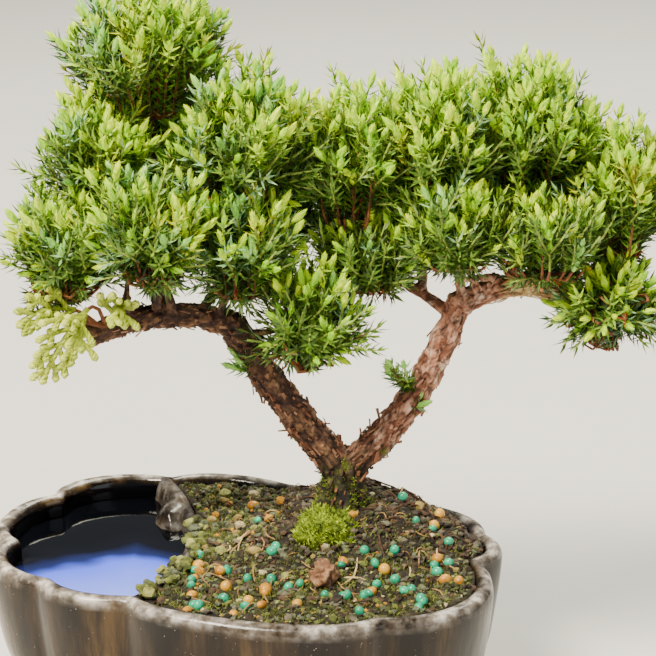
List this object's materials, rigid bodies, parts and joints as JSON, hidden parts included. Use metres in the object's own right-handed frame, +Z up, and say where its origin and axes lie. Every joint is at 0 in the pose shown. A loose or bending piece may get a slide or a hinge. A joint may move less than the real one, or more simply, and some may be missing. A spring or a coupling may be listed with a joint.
{
  "type": "potted bonsai conifer",
  "caption": "Small bonsai conifer forked low in a V with needle foliage, on a soil mound in a glazed lobed oval pot with a pool of water at one end.",
  "frame": {"origin": "middle of the pot's flat underside", "axes": "+Z up; +X to the right seen from the front, with the pool of water at -X; +Y to the back"},
  "size_m": [0.2964, 0.1775, 0.3315],
  "materials": {
    "glaze": "black-brown glossy fired glaze, worn grey-brown on the rim",
    "water": "still water, glossy",
    "soil": "dark crumbly potting soil with grit and bark bits",
    "moss": "soft bright green moss",
    "stone": "rough reddish tan stone",
    "bark": "rough flaky reddish brown bark",
    "foliage": "mid green to blue green needles with bright yellow green tips"
  },
  "bodies": {
    "root": {"pot": "glaze", "water": "water", "soil": "soil", "moss": "moss", "stone": "stone", "trunk": "bark", "left_trunk": "bark", "right_trunk": "bark", "left_arm": "bark", "right_arm": "bark", "leader": "bark", "arm_tip": "bark", "right_tip": "bark", "right_back": "bark", "bough_left_mid": "bark", "bough_mid_right": "bark", "bough_left_front": "bark", "bough_centre": "bark", "bough_low_centre": "bark", "bough_back_left": "bark", "bough_back_centre": "bark", "bough_right_inner_low": "bark", "bough_right_mid": "bark", "bough_right_mid_low": "bark", "bough_right_top": "bark", "bough_right_low": "bark", "bough_right_far": "bark", "bough_back_right": "bark", "bough_back_far": "bark", "foliage_top": "foliage", "foliage_left_mid": "foliage", "foliage_mid_right": "foliage", "foliage_left_low": "foliage", "foliage_left_front": "foliage", "foliage_centre": "foliage", "foliage_low_centre": "foliage", "foliage_hanging": "foliage", "foliage_back_left": "foliage", "foliage_back_centre": "foliage", "foliage_right_inner": "foliage", "foliage_right_inner_low": "foliage", "foliage_right_mid": "foliage", "foliage_right_mid_low": "foliage", "foliage_right_top": "foliage", "foliage_right_low": "foliage", "foliage_right_far": "foliage", "foliage_right_far_low": "foliage", "foliage_back_right": "foliage", "foliage_back_far": "foliage", "sprig_right": "foliage", "sprig_front": "foliage", "sprig_left": "foliage"}
  },
  "joints": []
}
